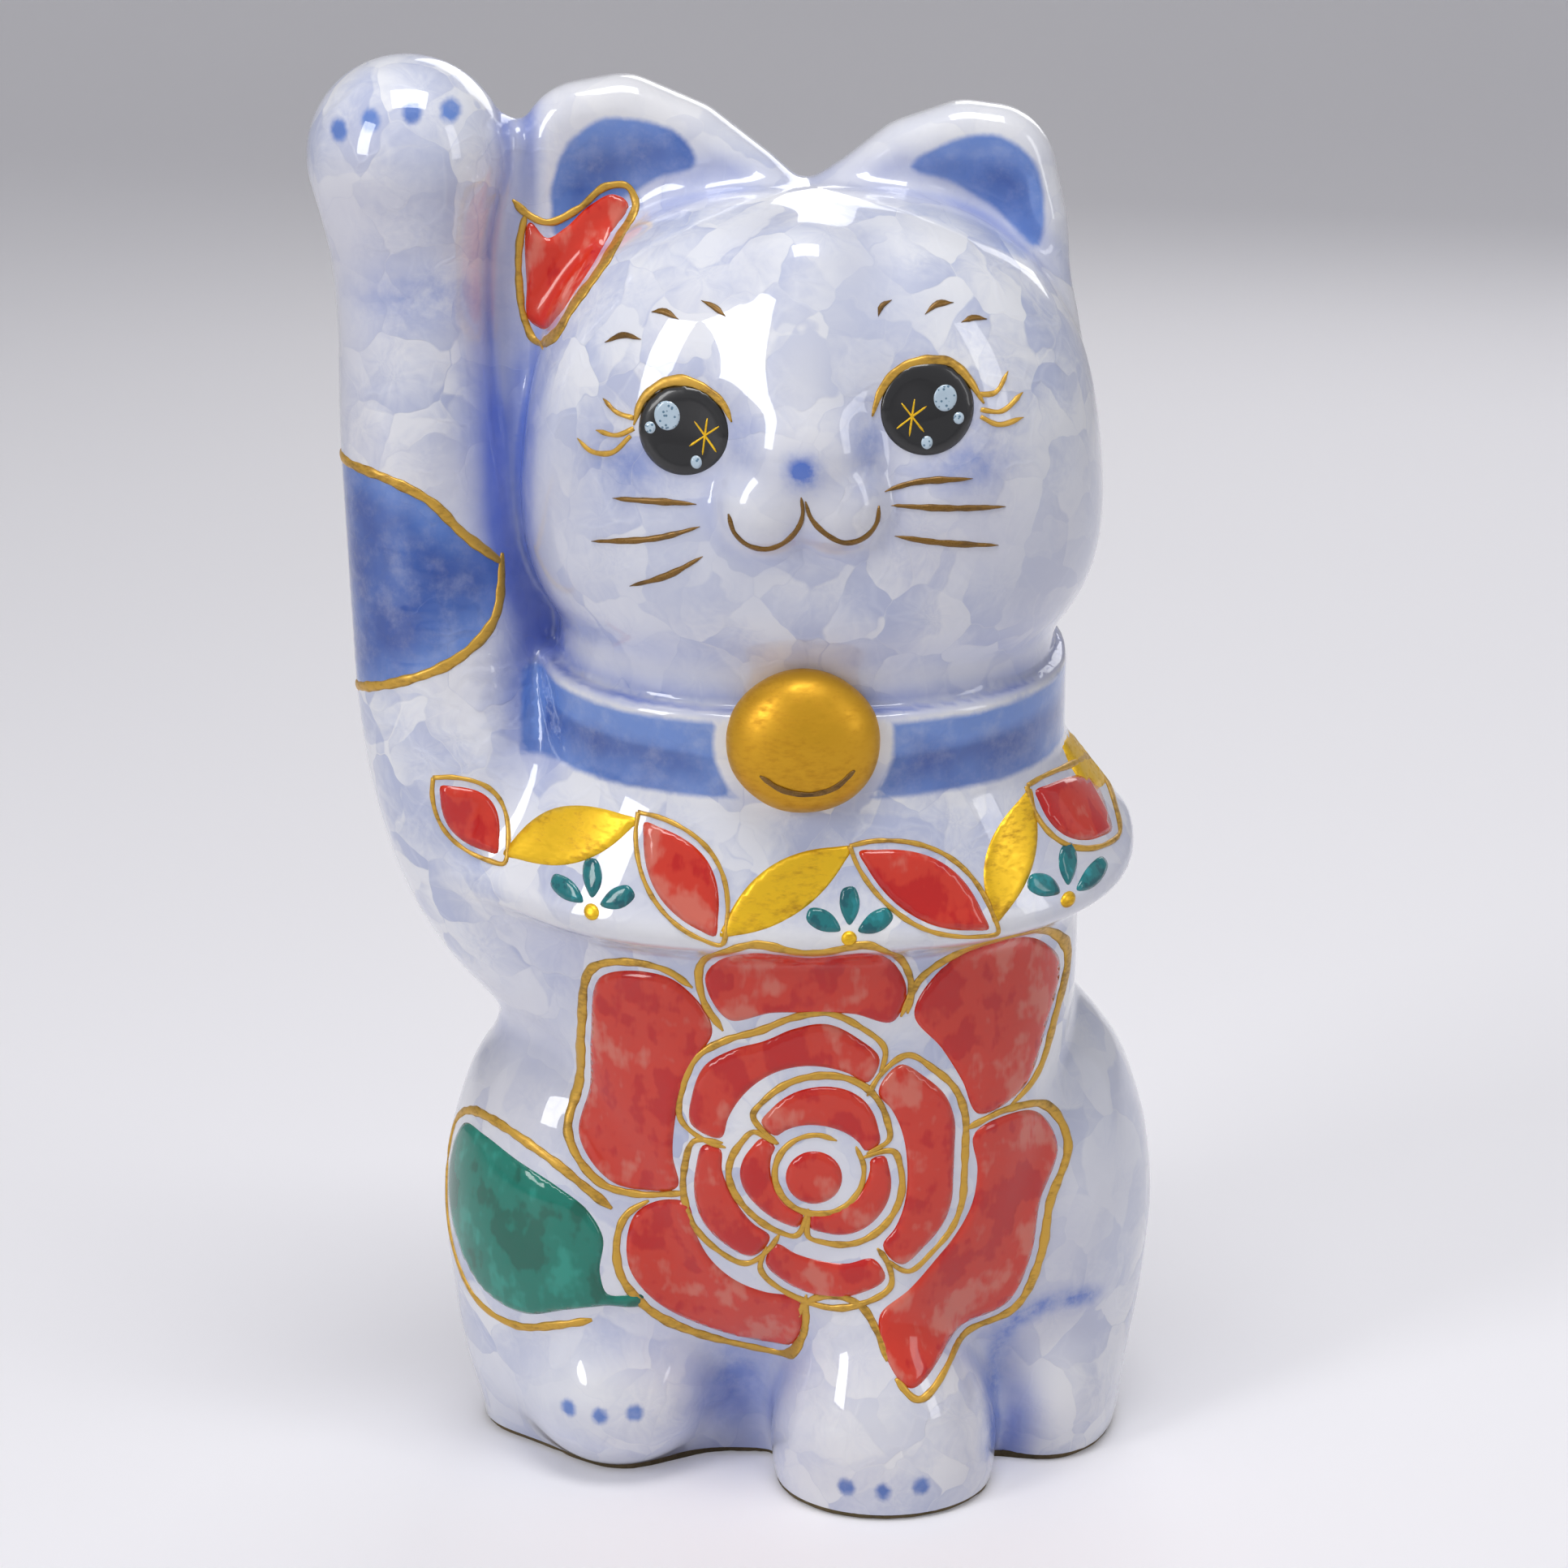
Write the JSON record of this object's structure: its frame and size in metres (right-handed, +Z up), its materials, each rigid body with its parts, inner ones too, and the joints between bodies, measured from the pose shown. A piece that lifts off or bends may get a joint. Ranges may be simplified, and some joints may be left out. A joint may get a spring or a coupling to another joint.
{
  "type": "beckoning cat figurine",
  "caption": "Sitting porcelain cat with one raised paw, a collar with a bell, and raised enamel leaves and a rose on a pearly glaze; hollow, flat base to rest on.",
  "frame": {"origin": "on the resting face under the body, on the table, between the feet and the tail", "axes": "+Z up, -Y towards the cat's face, +X towards the cat's left paw; the raised right arm is on -X"},
  "size_m": [0.1061, 0.076, 0.18],
  "materials": {
    "pearl_glaze": "very glossy pearl white crystalline glaze with fan-shaped blooms, pooling to pale blue in the creases",
    "blue_glaze": "cobalt blue under the same glossy glaze, soft and mottled at its edges",
    "bare_clay": "bare fired clay, matt, olive brown at the foot",
    "gold_lustre": "brushed-on fired gold, satin, with fine brush streaks",
    "brown_line": "thin gold-brown brush lines, satin",
    "red_enamel": "raised glossy red overglaze enamel, brushed thick and thin",
    "green_enamel": "raised glossy green overglaze enamel, brushed thick and thin",
    "teal_enamel": "small raised glossy teal enamel dabs",
    "black_enamel": "glossy black enamel"
  },
  "bodies": {
    "root": {"foot_slab": "bare_clay", "body_casting": "pearl_glaze", "head_casting": "pearl_glaze", "raised_arm": "pearl_glaze", "right_ear": "pearl_glaze", "left_ear": "pearl_glaze", "front_leg": "pearl_glaze", "right_hind_foot": "pearl_glaze", "left_hind_foot": "pearl_glaze", "tail": "pearl_glaze", "collar_band": "blue_glaze", "bell": "gold_lustre", "right_eye": "black_enamel", "left_eye": "black_enamel", "eye_gold": "gold_lustre", "brow_lines": "brown_line", "mouth_line": "brown_line", "whisker_lines": "brown_line", "head_patch": "red_enamel", "head_patch_edge": "gold_lustre", "arm_patch_edge": "gold_lustre", "bib_red_leaves": "red_enamel", "bib_gold_leaves": "gold_lustre", "bib_leaf_edges": "gold_lustre", "bib_sprigs": "teal_enamel", "bib_berries": "gold_lustre", "rose_petals": "red_enamel", "rose_edges": "gold_lustre", "haunch_leaf": "green_enamel", "haunch_leaf_edge": "gold_lustre"}
  },
  "joints": []
}
